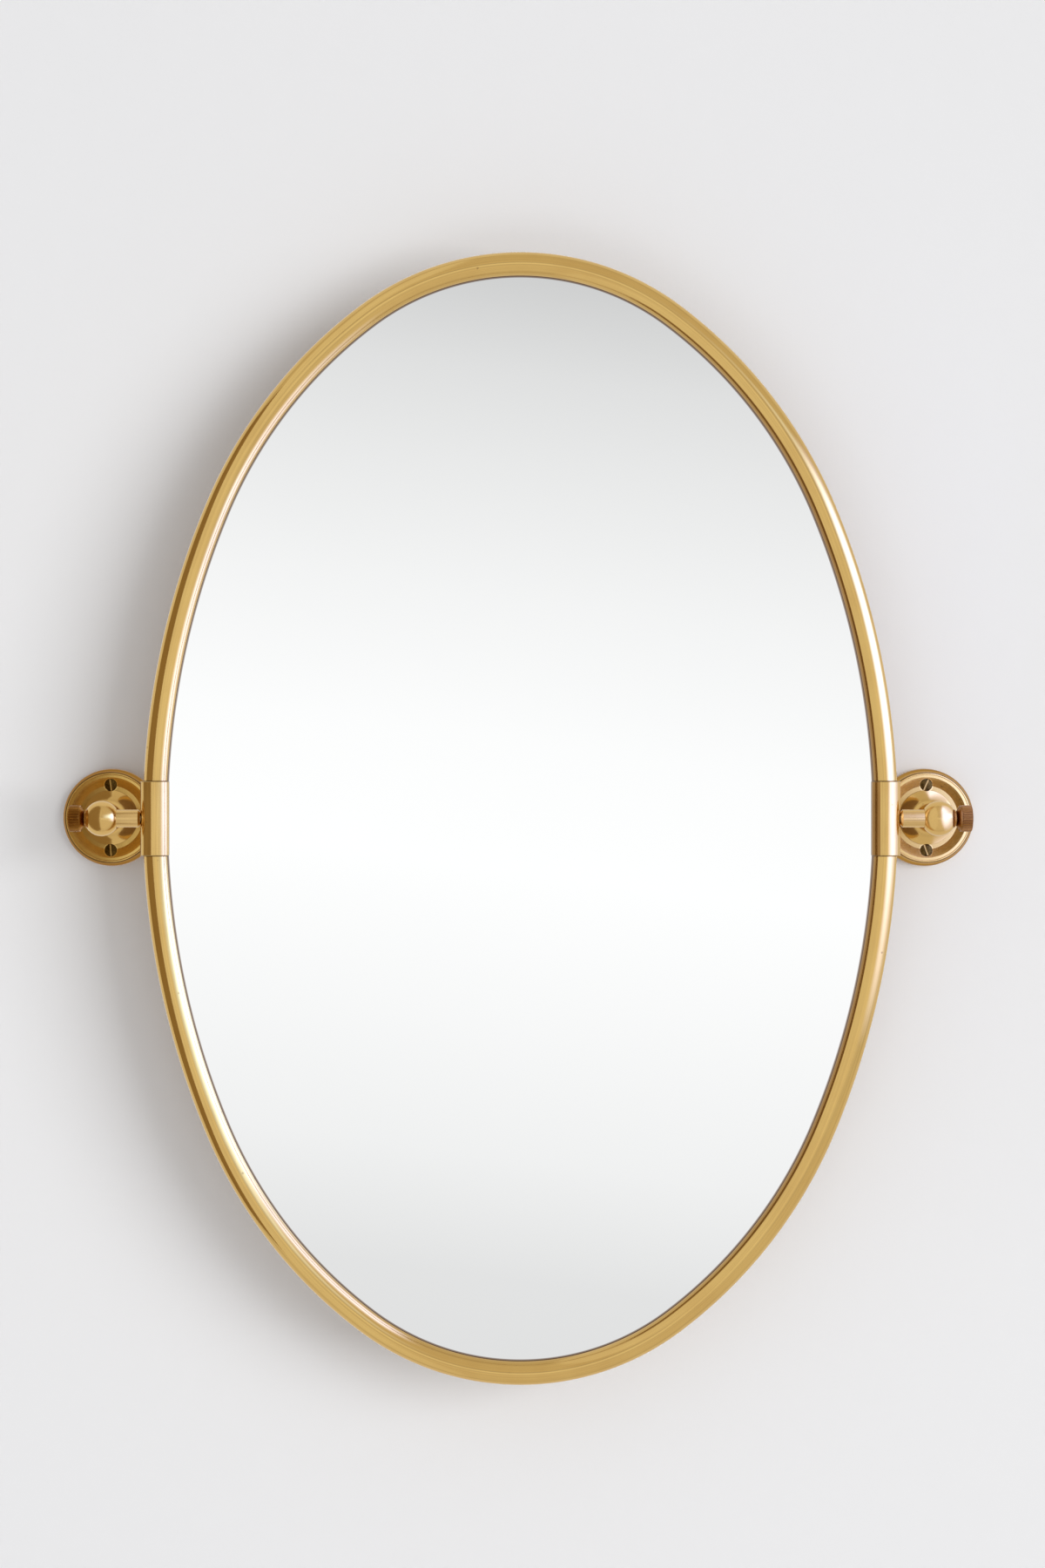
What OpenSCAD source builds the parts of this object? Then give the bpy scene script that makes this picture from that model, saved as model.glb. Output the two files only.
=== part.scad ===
/* [Mirror] */
// Width over the round tube of the frame
frame_w = 508; // [440:1:580]
// Height over the round tube of the frame
frame_h = 762; // [680:1:860]
// Diameter of the frame tube
tube_d = 16; // [15:0.5:18]
// Wall thickness of the frame tube
tube_wall = 1; // [0.8:0.1:1.4]
// Thickness of the mirror glass
glass_t = 3; // [2:0.5:3]
// Thickness of the backing board
board_t = 2.5; // [1.5:0.5:2.5]
// Thickness of the rubber strip round the glass
strip_t = 0.6; // [0.5:0.1:1]

/* [Pivots] */
// Distance from the wall to the pivot axis
wall_gap = 65; // [50:1:90]
// Outer diameter of the joining collars
collar_d = 19.4; // [19:0.1:24]
// Length of the joining collars
collar_len = 50; // [36:1:70]
// Diameter of the pivot studs
stud_d = 6; // [5:0.5:7]
// Diameter of the spacers between collar and ball
spacer_d = 12; // [11:0.5:14]
// Length of the spacers
spacer_len = 16; // [8:0.5:30]
// Diameter of the pivot balls
ball_d = 24; // [22:0.5:32]
// Width across the two flats of the pivot balls
ball_flats = 19.8; // [16:0.2:20]

/* [Knobs] */
// Diameter of the knobs over the ridges
knob_d = 17.8; // [16:0.2:24]
// Length of the ridged part of the knobs
grip_len = 7; // [5:0.5:14]
// Number of ridges round the knobs
ridges = 30; // [20:1:44]
// Thickness of the washers under the knobs
washer_t = 0.9; // [0.6:0.1:2]

/* [Wall brackets] */
// Diameter of the round wall plates
plate_d = 67.4; // [66:0.2:90]
// Thickness of the wall plates under the foot of the post
plate_t = 8.8; // [6:0.2:12]
// Diameter of the foot of the posts
foot_d = 37.6; // [36:0.2:39]
// Diameter of the posts at their neck
neck_d = 12; // [11:0.5:14]
// Distance between the two wall screws of a plate
screw_pitch = 45; // [44:0.5:48]
// Diameter of the wall screws
screw_d = 4.2; // [3.5:0.1:4.5]
// Diameter of the wall screw heads
head_d = 8.4; // [7.6:0.1:8.8]
// How far the wall screws stand out behind the plates
screw_reach = 28; // [15:1:45]

/* [Hidden] */

// Facets of the preview: fine ones for round parts, finer ones for the big oval
fine = 96;
oval_fine = 256;
// Small distance that a cut runs past the face it opens
over = 0.5;

// Radial clearances: turning fit on the stud, loose hole, push fit of the inner parts
turn_gap = 0.05;
loose_gap = 0.3;
seat_gap = 0.1;
// Gap left where the two halves of the frame meet inside the collars
halves_gap = 0.5;

// The oval follows the middle of the tube, in arcs that run into each other: two for the sides,
// four for the shoulders and two for the ends. Side and shoulder arcs meet on a line that runs
// 12 across and 5 up, shoulder and end arcs on one that runs 3 across and 4 up. With these
// right triangles and lengths in whole thousandths, neighbouring arcs meet exactly.
half_w = (frame_w - tube_d) / 2;
half_h = (frame_h - tube_d) / 2;
low_line = [12, 5];
high_line = [3, 4];
low_dir = low_line / norm(low_line);
high_dir = high_line / norm(high_line);
function neat(x) = round(1000 * x) / 1000;
// Radii that would close the oval exactly, worked out from a side a little tighter than an ellipse's
side_want = 0.958 * half_h * half_h / half_w;
across_1 = high_dir[0] - low_dir[0];
across_2 = -high_dir[0];
across_3 = side_want * (1 - low_dir[0]) - half_w;
up_1 = high_dir[1] - low_dir[1];
up_2 = 1 - high_dir[1];
up_3 = half_h - side_want * low_dir[1];
solve = across_1 * up_2 - across_2 * up_1;
shoulder_want = (across_3 * up_2 - across_2 * up_3) / solve;
end_want = (across_1 * up_3 - up_1 * across_3) / solve;
low_step = neat((side_want - shoulder_want) / norm(low_line));
high_step = neat((shoulder_want - end_want) / norm(high_line));
side_r = half_w + low_step * low_line[0] + high_step * high_line[0];
shoulder_r = side_r - low_step * norm(low_line);
end_r = shoulder_r - high_step * norm(high_line);
side_centre = [half_w - side_r, 0];
shoulder_centre = side_centre + low_step * low_line;
end_centre = shoulder_centre + high_step * high_line;
low_angle = atan2(low_line[1], low_line[0]);
high_angle = atan2(high_line[1], high_line[0]);
// Each arc is drawn this many degrees too long at both ends, then trimmed to its wedge, whose
// far corners lie well outside the oval
spare = 2;
wedge_t = 60;
low_reach = 60 * low_line;
high_reach = 100 * high_line;
// Neighbouring wedges overlap by a hair, so that the arcs join: a share of their length
hair = 0.00000002;

// Glass and board stand in the slot of the tube, wrapped in the strip. The slot lies just behind
// the tube's middle, so that the whole front of the tube stands before the glass.
stack_t = glass_t + board_t;
slot_w = stack_t + 2 * strip_t;
slot_setback = 0.2;
slot_back = -slot_setback - slot_w;
glass_front = -slot_setback - strip_t;
bore_d = tube_d - 2 * tube_wall;
pane_inset = 0.6;
strip_lip = tube_d / 2 - 0.5;
// Width of the bent border of a pane, and how deep its flat middle reaches into that border
border_w = 100;
border_lap = 50;

// Joint plugs fill the outer part of the bore, clear of the strip
plug_gap = 1;
plug_flat = strip_t - pane_inset + plug_gap;
plug_setback = 5;
plug_len = collar_len - 2 * plug_setback;

// Positions along the pivot axis, from the middle of the mirror outwards
collar_face = half_w + collar_d / 2;
ball_x = collar_face + spacer_len + ball_flats / 2;
ball_face = ball_flats / 2;
edge_cut = 0.4;
stud_start = half_w + plug_flat + edge_cut;
spacer_chamfer = [1.8, 1.4];

// Knob, measured outwards from the ball's centre
neck_len = 0.8;
cone_len = 2.3;
band_len = 1;
neck_r = 4.4;
knob_start = ball_face + washer_t;
cone_start = knob_start + neck_len;
band_start = cone_start + cone_len;
grip_start = band_start + band_len;
knob_end = grip_start + grip_len;
band_inset = 0.2;
band_r = knob_d / 2 - band_inset;
// Ridges: depth, and the shares of a step at which a ridge starts, is full and ends
ridge_depth = 0.55;
ridge_foot = 0.2;
ridge_from = 0.42;
ridge_to = 0.78;
// The blind hole of the knob stops this far from its end, and the stud stops short of it
knob_skin = 2.6;
stud_gap = 0.5;
thread_end = knob_end - knob_skin;
stud_end = thread_end - stud_gap;
washer_d = 12;

// Post, measured out from the wall
foot_step = 1.8;
foot_r = foot_d / 2;
waist_r = neck_d / 2;
top_r = 5;
bell_tilt = 20;
bell_r = (foot_r - waist_r) / (1 - sin(bell_tilt));
bell_start = plate_t + foot_step;
bell_end = bell_start + bell_r * cos(bell_tilt);
ball_seat = sqrt(pow(ball_d / 2, 2) - pow(top_r + edge_cut, 2));
post_end = wall_gap - ball_seat;
pin_d = 5;
pin_len = 5;

// Screw that holds the post from behind the plate
fix_d = 5;
fix_head_d = 10;
fix_head_t = 2;
fix_setback = 0.2;
fix_len = 24;
fix_spare = 2;

// Wall plate, from the wall inwards: bulging skirt, bevel, groove, bead, a flat ring, and a dish
// whose sloping side runs down to a level floor round the foot
plate_r = plate_d / 2;
rim_t = plate_t + 1;
skirt_r = 26;
bevel_in = plate_r - 2.25;
bevel_slope = 1.2;
groove_at = plate_r - 2.75;
groove_r = 0.3;
bead_r = 0.7;
bead_at = [plate_r - 3.55, plate_t + 1.15];
ring_t = plate_t + 1.5;
dish_out = plate_r - 5.9;
dish_in = foot_r + 3.2;
dish_floor = plate_t + 0.3;

// Wall screws: countersunk heads with a low dome, and a long point with a blunt end
head_top = plate_t + 0.6;
head_t = 2.3;
shank_fillet = 0.15;
tip_r = 0.5;
tip_blunt = 1;
tip_len = 6;
head_dome = 0.5;
slot_cut = [1.1, 1];
// Turn of the slots, as the screws were left: upper and lower screw of each plate
left_slots = [8, 4];
right_slots = [-24, 20];

// Stands the flat drawing of the oval upright, at the pivot axis
module upright() {
    translate([0, -wall_gap, 0])
        rotate([90, 0, 0])
            children();
}

// Lays out a part that is drawn along +Z so that it points out of the wall at a ball's place
module from_wall(side) {
    translate([side * ball_x, 0, 0])
        rotate([90, 0, 0])
            children();
}

// Lays out a part that is drawn along +Z so that it points outwards along the pivot axis
module along_axis(side, start) {
    translate([side * start, -wall_gap, 0])
        rotate([0, side * 90, 0])
            children();
}

function quarter_turn(v) = [-v[1], v[0]];

// An arc of the oval with the given cross-section, trimmed to the wedge between two lines
module arc(centre, r, from, to, wedge) {
    start = wedge[0] - hair * quarter_turn(wedge[0]);
    end = wedge[1] + hair * quarter_turn(wedge[1]);
    intersection() {
        translate([centre[0], centre[1], 0])
            rotate_extrude(angle = to - from + 2 * spare, start = from - spare, $fn = oval_fine)
                translate([r, 0])
                    children();
        linear_extrude(wedge_t, center = true)
            polygon([centre, centre + start, centre + end]);
    }
}

module side_arc() {
    wedge = [[low_reach[0], -low_reach[1]], low_reach];
    arc(side_centre, side_r, -low_angle, low_angle, wedge) children();
}

module shoulder_arc() {
    wedge = [low_reach, high_reach];
    arc(shoulder_centre, shoulder_r, low_angle, high_angle, wedge) children();
}

module end_arc() {
    wedge = [high_reach, [-high_reach[0], high_reach[1]]];
    arc(end_centre, end_r, high_angle, 180 - high_angle, wedge) children();
}

module upper_half() {
    for (x = [0, 1])
        mirror([x, 0, 0]) {
            side_arc() children();
            shoulder_arc() children();
        }
    end_arc() children();
}

// The block that is cleared below the upper half
module below() {
    translate([-frame_w, -frame_h, -wedge_t / 2])
        cube([2 * frame_w, frame_h + halves_gap / 2, wedge_t]);
}

module tube_section() {
    difference() {
        circle(d = tube_d, $fn = fine);
        circle(d = bore_d, $fn = fine);
        translate([-tube_d, slot_back])
            square([tube_d, slot_w]);
    }
}

module strip_section() {
    difference() {
        intersection() {
            circle(r = strip_lip, $fn = fine);
            translate([-tube_d, slot_back])
                square([tube_d - pane_inset + strip_t, slot_w]);
        }
        translate([-tube_d, glass_front - stack_t])
            square([tube_d - pane_inset, stack_t]);
    }
}

module frame_half() {
    difference() {
        upper_half() tube_section();
        below();
        for (x = [0, 1])
            mirror([x, 0, 0])
                translate([half_w, 0, 0])
                    rotate([0, 90, 0])
                        cylinder(r = stud_d / 2 + seat_gap, h = tube_d, $fn = fine);
    }
}

module strip_half() {
    difference() {
        upper_half() strip_section();
        below();
    }
}

// Corners of the flat middle of a pane, inside its bent border
function inside(centre, r, line) = centre + (r - border_lap) / norm(line) * line;
corners = [
    inside(side_centre, side_r, [1, 0]),
    inside(shoulder_centre, shoulder_r, low_line),
    inside(end_centre, end_r, high_line),
    inside(end_centre, end_r, [0, 1])
];

module pane_edge(t) {
    translate([-border_w, 0])
        square([border_w - pane_inset, t]);
}

module pane(t) {
    for (x = [0, 1])
        mirror([x, 0, 0]) side_arc() pane_edge(t);
    for (y = [0, 1])
        mirror([0, y, 0]) {
            end_arc() pane_edge(t);
            for (x = [0, 1])
                mirror([x, 0, 0]) {
                    shoulder_arc() pane_edge(t);
                    linear_extrude(t)
                        polygon([[0, 0], corners[0], corners[1], corners[2], corners[3]]);
                }
        }
}

module upper_frame_tube() {
    color("goldenrod") upright() frame_half();
}

module lower_frame_tube() {
    color("goldenrod") upright() mirror([0, 1, 0]) frame_half();
}

module mirror_glass() {
    color("lightsteelblue")
        upright()
            translate([0, 0, glass_front - glass_t])
                pane(glass_t);
}

module backing_board() {
    color("saddlebrown")
        upright()
            translate([0, 0, glass_front - stack_t])
                pane(board_t);
}

module upper_glazing_strip() {
    color("dimgray") upright() strip_half();
}

module lower_glazing_strip() {
    color("dimgray") upright() mirror([0, 1, 0]) strip_half();
}

// The run of the tube through a collar, as a solid or with a cross-section given
module side_run(length) {
    half_angle = asin(length / 2 / side_r);
    translate([side_centre[0], 0, 0])
        rotate_extrude(angle = 2 * half_angle, start = -half_angle, $fn = oval_fine)
            translate([side_r, 0])
                children();
}

module collar() {
    upright() difference() {
        translate([half_w, 0, 0])
            rotate([90, 0, 0])
                rotate_extrude($fn = fine)
                    polygon([
                        [0, -collar_len / 2],
                        [collar_d / 2 - edge_cut, -collar_len / 2],
                        [collar_d / 2, -collar_len / 2 + edge_cut],
                        [collar_d / 2, collar_len / 2 - edge_cut],
                        [collar_d / 2 - edge_cut, collar_len / 2],
                        [0, collar_len / 2]
                    ]);
        side_run(collar_len + 2 * tube_d) circle(d = tube_d, $fn = fine);
        translate([half_w - collar_d, -collar_len, slot_back])
            cube([collar_d, 2 * collar_len, slot_w]);
        translate([half_w, 0, 0])
            rotate([0, 90, 0])
                cylinder(d = stud_d, h = collar_d, $fn = fine);
    }
}

module left_collar() {
    color("gold") mirror([1, 0, 0]) collar();
}

module right_collar() {
    color("gold") collar();
}

module joint_plug() {
    upright() difference() {
        side_run(plug_len) intersection() {
            circle(d = bore_d, $fn = fine);
            translate([plug_flat, -bore_d / 2])
                square(bore_d);
        }
        translate([half_w, 0, 0])
            rotate([0, 90, 0])
                cylinder(d = stud_d, h = bore_d, $fn = fine);
    }
}

module left_joint_plug() {
    color("peru") mirror([1, 0, 0]) joint_plug();
}

module right_joint_plug() {
    color("peru") joint_plug();
}

module pivot_stud(side) {
    length = ball_x + stud_end - stud_start;
    along_axis(side, stud_start)
        rotate_extrude($fn = fine)
            polygon([
                [0, 0],
                [stud_d / 2 - edge_cut, 0],
                [stud_d / 2, edge_cut],
                [stud_d / 2, length - edge_cut],
                [stud_d / 2 - edge_cut, length],
                [0, length]
            ]);
}

module left_pivot_stud() {
    color("silver") pivot_stud(-1);
}

module right_pivot_stud() {
    color("silver") pivot_stud(1);
}

module spacer(side) {
    hole = stud_d / 2 + seat_gap;
    along_axis(side, collar_face)
        rotate_extrude($fn = fine)
            polygon([
                [hole, 0],
                [spacer_d / 2 - spacer_chamfer[0], 0],
                [spacer_d / 2, spacer_chamfer[1]],
                [spacer_d / 2, spacer_len],
                [hole, spacer_len]
            ]);
}

module left_spacer() {
    color("khaki") spacer(-1);
}

module right_spacer() {
    color("khaki") spacer(1);
}

// Drawn with the wall at z = 0; the flats face along x
module ball() {
    translate([0, 0, wall_gap]) difference() {
        intersection() {
            sphere(d = ball_d, $fn = fine);
            translate([-ball_face, -ball_d, -ball_seat])
                cube([ball_flats, 2 * ball_d, ball_seat + ball_d]);
        }
        rotate([0, 90, 0])
            cylinder(r = stud_d / 2 + turn_gap, h = 2 * ball_d, center = true, $fn = fine);
        translate([0, 0, -ball_seat - over])
            cylinder(d = pin_d, h = pin_len + 2 * over, $fn = fine);
    }
}

module left_ball() {
    color("orange") from_wall(-1) ball();
}

module right_ball() {
    color("orange") from_wall(1) ball();
}

module screw_places() {
    for (y = [-1, 1])
        translate([0, y * screw_pitch / 2, 0])
            children();
}

// Cone-shaped sink for a wall screw head, open to the front
module head_sink(gap) {
    translate([0, 0, head_top - head_t])
        cylinder(r1 = screw_d / 2 + shank_fillet + gap, r2 = head_d / 2 + gap, h = head_t, $fn = fine);
    translate([0, 0, head_top])
        cylinder(r = head_d / 2 + gap, h = bell_start, $fn = fine);
}

module post() {
    difference() {
        rotate_extrude($fn = fine) {
            difference() {
                polygon([
                    [0, plate_t],
                    [foot_r, plate_t],
                    [foot_r, bell_start],
                    [waist_r, bell_end],
                    [0, bell_end]
                ]);
                translate([waist_r + bell_r, bell_end])
                    circle(r = bell_r, $fn = oval_fine);
            }
            polygon([
                [0, bell_end],
                [waist_r, bell_end],
                [top_r, post_end],
                [pin_d / 2, post_end],
                [pin_d / 2, post_end + pin_len],
                [0, post_end + pin_len]
            ]);
        }
        translate([0, 0, plate_t - over])
            cylinder(d = fix_d, h = fix_len + fix_spare - plate_t + over, $fn = fine);
        screw_places() head_sink(seat_gap);
    }
}

module left_post() {
    color("darkorange") from_wall(-1) post();
}

module right_post() {
    color("darkorange") from_wall(1) post();
}

module post_screw() {
    rotate_extrude($fn = fine)
        polygon([
            [0, fix_setback],
            [fix_head_d / 2, fix_setback],
            [fix_d / 2, fix_setback + fix_head_t],
            [fix_d / 2, fix_len],
            [0, fix_len]
        ]);
}

module left_post_screw() {
    color("gray") from_wall(-1) post_screw();
}

module right_post_screw() {
    color("gray") from_wall(1) post_screw();
}

module plate_section() {
    bevel_w = plate_r + over - bevel_in;
    rise = ring_t - dish_floor;
    difference() {
        union() {
            intersection() {
                polygon([
                    [0, 0],
                    [plate_r + over, 0],
                    [plate_r + over, rim_t - bevel_slope * bevel_w],
                    [bevel_in, rim_t],
                    [0, rim_t]
                ]);
                translate([plate_r - skirt_r, 0])
                    circle(r = skirt_r, $fn = oval_fine);
            }
            translate(bead_at)
                circle(r = bead_r, $fn = fine);
            square([bead_at[0], ring_t]);
        }
        translate([groove_at, rim_t])
            circle(r = groove_r, $fn = fine);
        polygon([
            [foot_r - over, dish_floor],
            [dish_in, dish_floor],
            [2 * dish_out - dish_in, dish_floor + 2 * rise],
            [foot_r - over, dish_floor + 2 * rise]
        ]);
        translate([0, plate_t])
            square([foot_r, 2 * rim_t]);
    }
}

module wall_plate() {
    difference() {
        rotate_extrude($fn = fine) plate_section();
        screw_places() {
            cylinder(r = screw_d / 2 + loose_gap, h = 4 * rim_t, center = true, $fn = fine);
            head_sink(seat_gap);
        }
        cylinder(r = fix_d / 2 + seat_gap, h = 4 * rim_t, center = true, $fn = fine);
        translate([0, 0, -over])
            cylinder(r = fix_head_d / 2, h = over + fix_setback, $fn = fine);
        translate([0, 0, fix_setback])
            cylinder(r1 = fix_head_d / 2, r2 = fix_d / 2, h = fix_head_t, $fn = fine);
    }
}

module left_wall_plate() {
    color("darkgoldenrod") from_wall(-1) wall_plate();
}

module right_wall_plate() {
    color("darkgoldenrod") from_wall(1) wall_plate();
}

module wall_screw(turn) {
    dome_r = (pow(head_d / 2, 2) + pow(head_dome, 2)) / (2 * head_dome);
    difference() {
        rotate_extrude($fn = fine) {
            polygon([
                [0, -screw_reach],
                [tip_r, -screw_reach + tip_blunt],
                [screw_d / 2, -screw_reach + tip_len],
                [screw_d / 2, 0],
                [screw_d / 2 + shank_fillet, 0],
                [screw_d / 2 + shank_fillet, head_top - head_t],
                [head_d / 2, head_top],
                [0, head_top]
            ]);
            intersection() {
                translate([0, head_top + head_dome - dome_r])
                    circle(r = dome_r, $fn = oval_fine);
                translate([0, head_top])
                    square([head_d / 2, head_dome]);
            }
        }
        rotate(turn)
            translate([-slot_cut[0] / 2, -head_d, head_top + head_dome - slot_cut[1]])
                cube([slot_cut[0], 2 * head_d, 2 * slot_cut[1]]);
    }
}

module wall_screws(turns) {
    translate([0, screw_pitch / 2, 0]) wall_screw(turns[0]);
    translate([0, -screw_pitch / 2, 0]) wall_screw(turns[1]);
}

module left_wall_screws() {
    color("sienna") from_wall(-1) wall_screws(left_slots);
}

module right_wall_screws() {
    color("sienna") from_wall(1) wall_screws(right_slots);
}

module washer(side) {
    along_axis(side, ball_x + ball_face)
        difference() {
            cylinder(d = washer_d, h = washer_t, $fn = fine);
            translate([0, 0, -over])
                cylinder(r = stud_d / 2 + loose_gap, h = washer_t + 2 * over, $fn = fine);
        }
}

module left_washer() {
    color("brown") washer(-1);
}

module right_washer() {
    color("brown") washer(1);
}

module ridged_outline() {
    step = 360 / ridges;
    crest_r = knob_d / 2;
    root_r = crest_r - ridge_depth;
    polygon([
        for (i = [0 : ridges - 1])
            for (p = [[0, root_r], [ridge_foot, root_r], [ridge_from, crest_r], [ridge_to, crest_r]])
                p[1] * [cos((i + p[0]) * step), sin((i + p[0]) * step)]
    ]);
}

// Drawn outwards along +Z, with its start against the washer
module knob() {
    cone = cone_start - knob_start;
    band = band_start - knob_start;
    grip = grip_start - knob_start;
    length = knob_end - knob_start;
    difference() {
        union() {
            cylinder(r = neck_r, h = cone + over, $fn = fine);
            translate([0, 0, cone])
                cylinder(r1 = neck_r + edge_cut, r2 = band_r, h = band - cone, $fn = fine);
            translate([0, 0, band])
                cylinder(r = band_r, h = grip - band, $fn = fine);
            intersection() {
                translate([0, 0, grip])
                    linear_extrude(length - grip) ridged_outline();
                rotate_extrude($fn = fine)
                    polygon([
                        [0, grip],
                        [knob_d / 2 - edge_cut, grip],
                        [knob_d / 2 + over, grip + edge_cut + over],
                        [knob_d / 2 + over, length - edge_cut - over],
                        [knob_d / 2 - edge_cut, length],
                        [0, length]
                    ]);
            }
        }
        translate([0, 0, -over])
            cylinder(r = stud_d / 2 + turn_gap, h = thread_end - knob_start + over, $fn = fine);
    }
}

module left_knob() {
    color("chocolate") along_axis(-1, ball_x + knob_start) knob();
}

module right_knob() {
    color("chocolate") along_axis(1, ball_x + knob_start) knob();
}

upper_frame_tube();
lower_frame_tube();
mirror_glass();
backing_board();
upper_glazing_strip();
lower_glazing_strip();
left_collar();
right_collar();
left_joint_plug();
right_joint_plug();
left_pivot_stud();
right_pivot_stud();
left_spacer();
right_spacer();
left_ball();
right_ball();
left_post();
right_post();
left_post_screw();
right_post_screw();
left_wall_plate();
right_wall_plate();
left_wall_screws();
right_wall_screws();
left_washer();
right_washer();
left_knob();
right_knob();
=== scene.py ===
import math

import bpy
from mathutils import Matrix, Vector


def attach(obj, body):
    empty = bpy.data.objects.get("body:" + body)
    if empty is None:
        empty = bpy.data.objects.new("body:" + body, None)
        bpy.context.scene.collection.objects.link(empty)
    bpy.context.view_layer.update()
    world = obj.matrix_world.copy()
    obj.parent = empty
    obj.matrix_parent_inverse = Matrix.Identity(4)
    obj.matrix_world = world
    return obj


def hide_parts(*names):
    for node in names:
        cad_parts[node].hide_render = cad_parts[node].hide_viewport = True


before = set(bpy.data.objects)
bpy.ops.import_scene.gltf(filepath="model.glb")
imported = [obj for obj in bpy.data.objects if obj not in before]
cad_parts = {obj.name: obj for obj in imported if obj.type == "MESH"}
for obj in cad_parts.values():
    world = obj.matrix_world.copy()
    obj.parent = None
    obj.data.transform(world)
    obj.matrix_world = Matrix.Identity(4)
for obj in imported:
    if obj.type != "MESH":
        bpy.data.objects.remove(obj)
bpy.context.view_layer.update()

# ---------------------------------------------------------------- wall and floor
# The mirror hangs on a painted wall: smooth plaster under pale grey emulsion, with the fine
# orange-peel grain that a roller leaves. A pale floor lies far below.


def clear_selection():
    for thing in bpy.context.selected_objects:
        thing.select_set(False)


def node(tree, kind, **settings):
    made = tree.nodes.new(kind)
    for key, value in settings.items():
        if key in made.inputs:
            made.inputs[key].default_value = value
        else:
            setattr(made, key, value)
    return made


def feed(tree, slot, value):
    """Joins an output to this input, or writes a number or a colour there."""
    if isinstance(value, bpy.types.NodeSocket):
        tree.links.new(value, slot)
    elif isinstance(value, tuple):
        slot.default_value = (*value, 1)
    else:
        slot.default_value = value


def sums(tree, kind, *values):
    """One step of arithmetic on outputs and numbers."""
    made = node(tree, "ShaderNodeMath", operation=kind)
    for slot, value in zip(made.inputs, values):
        feed(tree, slot, value)
    return made.outputs[0]


def noise(tree, place, scale, detail=3.0, rough=0.55):
    made = node(tree, "ShaderNodeTexNoise", Scale=scale, Detail=detail, Roughness=rough)
    feed(tree, made.inputs["Vector"], place)
    return made.outputs["Fac"]


def relief(tree, height, strength, depth, under=None):
    made = node(tree, "ShaderNodeBump", Strength=strength, Distance=depth)
    feed(tree, made.inputs["Height"], height)
    if under:
        feed(tree, made.inputs["Normal"], under)
    return made.outputs["Normal"]


def mix_shaders(tree, share, first, second):
    made = node(tree, "ShaderNodeMixShader")
    for slot, value in zip(made.inputs, (share, first, second)):
        feed(tree, slot, value)
    return made.outputs[0]


def new_finish(name):
    """A new material, with its node tree, its surface shader and the place on the piece."""
    made = bpy.data.materials.new(name)
    made.use_nodes = True
    tree = made.node_tree
    place = node(tree, "ShaderNodeTexCoord").outputs["Object"]
    return made, tree, tree.nodes["Principled BSDF"], place


WALL_BACK = 0.0002          # how far the paint lies behind the plates
FLOOR_HEIGHT = -1.3
ROOM_SPAN = 7.0
WALL_GREY = (0.835, 0.835, 0.845)
FLOOR_GREY = (0.74, 0.735, 0.73)
WALL_IN_METAL = (0.86, 0.84, 0.81)
COARSE_GRAIN = 26.0         # waves a metre
FINE_GRAIN = 260.0
GRAIN_DEPTH = 0.0012


def wall_paint(name, colour, see_through):
    paint, tree, skin, place = new_finish(name)
    skin.inputs["Base Color"].default_value = (*colour, 1)
    skin.inputs["Roughness"].default_value = 0.75
    skin.inputs["Specular IOR Level"].default_value = 0.2
    rolled = sums(tree, "MULTIPLY_ADD", noise(tree, place, FINE_GRAIN), 0.35,
                  noise(tree, place, COARSE_GRAIN, 2.0))
    feed(tree, skin.inputs["Normal"], relief(tree, rolled, 0.12, GRAIN_DEPTH))
    if not see_through:
        return paint
    # Seen from behind, the wall isn't there, and light for the back of the mirror comes through
    path = node(tree, "ShaderNodeLightPath").outputs
    glow = node(tree, "ShaderNodeEmission", Color=(*WALL_IN_METAL, 1))
    shine = mix_shaders(tree, path["Is Glossy Ray"], skin.outputs[0], glow.outputs[0])
    soft = sums(tree, "MAXIMUM", path["Is Shadow Ray"], path["Is Diffuse Ray"])
    from_behind = node(tree, "ShaderNodeNewGeometry").outputs["Backfacing"]
    seen = mix_shaders(tree, sums(tree, "MAXIMUM", soft, from_behind), shine,
                       node(tree, "ShaderNodeBsdfTransparent").outputs[0])
    feed(tree, tree.nodes["Material Output"].inputs["Surface"], seen)
    return paint


clear_selection()
bpy.ops.mesh.primitive_plane_add(size=ROOM_SPAN, rotation=(math.pi / 2, 0, 0),
                                 location=(0, WALL_BACK, FLOOR_HEIGHT + ROOM_SPAN / 2))
wall = bpy.context.active_object
wall.name = "wall"
bpy.ops.object.transform_apply(location=True, rotation=True)
wall.data.materials.append(wall_paint("wall_paint", WALL_GREY, see_through=True))

clear_selection()
bpy.ops.mesh.primitive_plane_add(size=ROOM_SPAN,
                                 location=(0, WALL_BACK - ROOM_SPAN / 2, FLOOR_HEIGHT))
floor = bpy.context.active_object
floor.name = "floor"
bpy.ops.object.transform_apply(location=True)
floor.data.materials.append(wall_paint("floor_paint", FLOOR_GREY, see_through=False))
floor.visible_glossy = False

# ---------------------------------------------------------------- camera and light
# The photo is taken from about two metres, a little left of the middle and a little above the
# pivots, square to the wall. A large soft light stands at the right. Metal and glass also show
# the cool glow of a window at the right, and a white and a brown card at the left.

camera = bpy.data.objects.new("camera", bpy.data.cameras.new("camera"))
bpy.context.scene.collection.objects.link(camera)
camera.location = (-0.048, -2.182, 0.025)
camera.rotation_euler = (math.radians(90), 0, 0)
camera.data.lens = 72.25
camera.data.sensor_width = 36
camera.data.shift_x = 0.0469
camera.data.shift_y = -0.0017
camera.data.clip_start = 0.05
bpy.context.scene.camera = camera


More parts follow.
